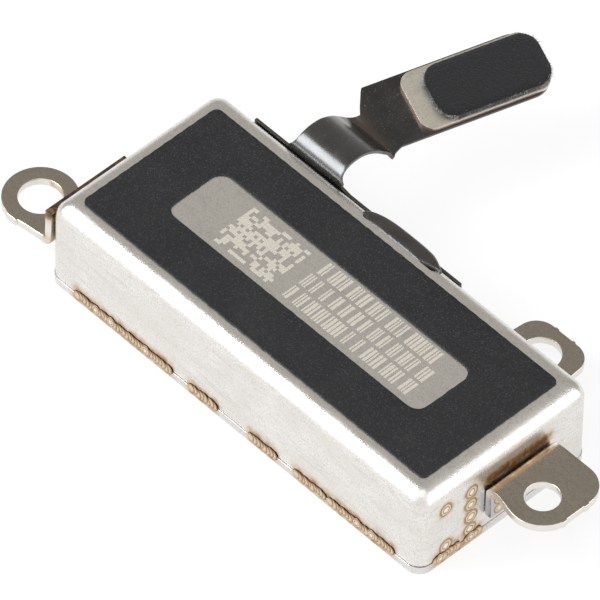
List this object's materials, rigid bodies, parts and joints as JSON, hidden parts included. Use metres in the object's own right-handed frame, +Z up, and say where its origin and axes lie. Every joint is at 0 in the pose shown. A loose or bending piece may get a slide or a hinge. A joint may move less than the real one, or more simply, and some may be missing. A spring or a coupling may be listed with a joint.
{
  "type": "linear resonant haptic motor",
  "caption": "Flat rectangular haptic motor in a welded steel can with three bent fixing ears, a black top film, and a flat flexible circuit ending in a board-to-board plug.",
  "frame": {"origin": "centre of the base plate's underside, the face that the motor rests on", "axes": "+X along the long side of the case towards the ear with the downward leg, +Y towards the side where the flexible circuit leaves, +Z up through the labelled top; the mass moves along X"},
  "size_m": [0.0307, 0.0221, 0.0055],
  "materials": {
    "base": "satin, laser-welded seam with heat tint",
    "can": "drawn satin steel",
    "label": "matte black film",
    "ear": "stamped stainless steel, heat tinted near the welds",
    "coverlay": "semi-gloss black coverlay",
    "stiffener": "stainless stiffener",
    "foam": "conductive foam with fibrous skin",
    "plug": "moulded liquid crystal polymer",
    "gold": "gold plated",
    "tungsten": "sintered tungsten alloy",
    "magnet": "nickel plated",
    "spring": "cold rolled stainless spring leaf",
    "rubber": "matte",
    "coil": "enamelled copper wire",
    "film": "amber polyimide",
    "chip": "moulded epoxy"
  },
  "bodies": {
    "housing": {"base_plate": "base", "can": "can", "label_film": "label", "right_bracket": "ear", "left_bracket": "ear", "rear_bracket": "ear", "flex_exit": "coverlay", "flex_band": "coverlay", "flex_neck": "coverlay", "spring_left": "spring", "spring_right": "spring", "wall_clip_left": "spring", "wall_clip_right": "spring", "stop_pad_left": "rubber", "stop_pad_right": "rubber", "lower_coil_left": "coil", "lower_coil_right": "coil", "upper_coil_left": "coil", "upper_coil_right": "coil", "lower_coil_flex": "film", "upper_coil_flex": "film", "position_sensor": "chip"},
    "moving_mass": {"mass_frame": "tungsten", "magnet_left": "magnet", "magnet_centre": "magnet", "magnet_right": "magnet", "mass_clip_left": "spring", "mass_clip_right": "spring"},
    "tail_head": {"flex_head": "coverlay", "stiffener_plate": "stiffener", "foam_pad": "foam", "plug_body": "plug", "contact_row_left": "gold", "contact_row_right": "gold", "hold_down_near": "gold", "hold_down_far": "gold"}
  },
  "joints": [
    {"name": "mass_slide", "type": "slide", "parent": "housing", "child": "moving_mass", "axis": [1, 0, 0], "range_m": [-0.0006, 0.0006], "stiffness_N_per_m": 500, "deforming": ["spring_left", "spring_right"]},
    {"name": "tail_bend", "type": "hinge", "parent": "housing", "child": "tail_head", "pos_m": [-0.00556, 0.0064, 0.0049], "axis": [1, 0, 0], "range_deg": [-20, 60], "deforming": ["flex_neck"]}
  ]
}
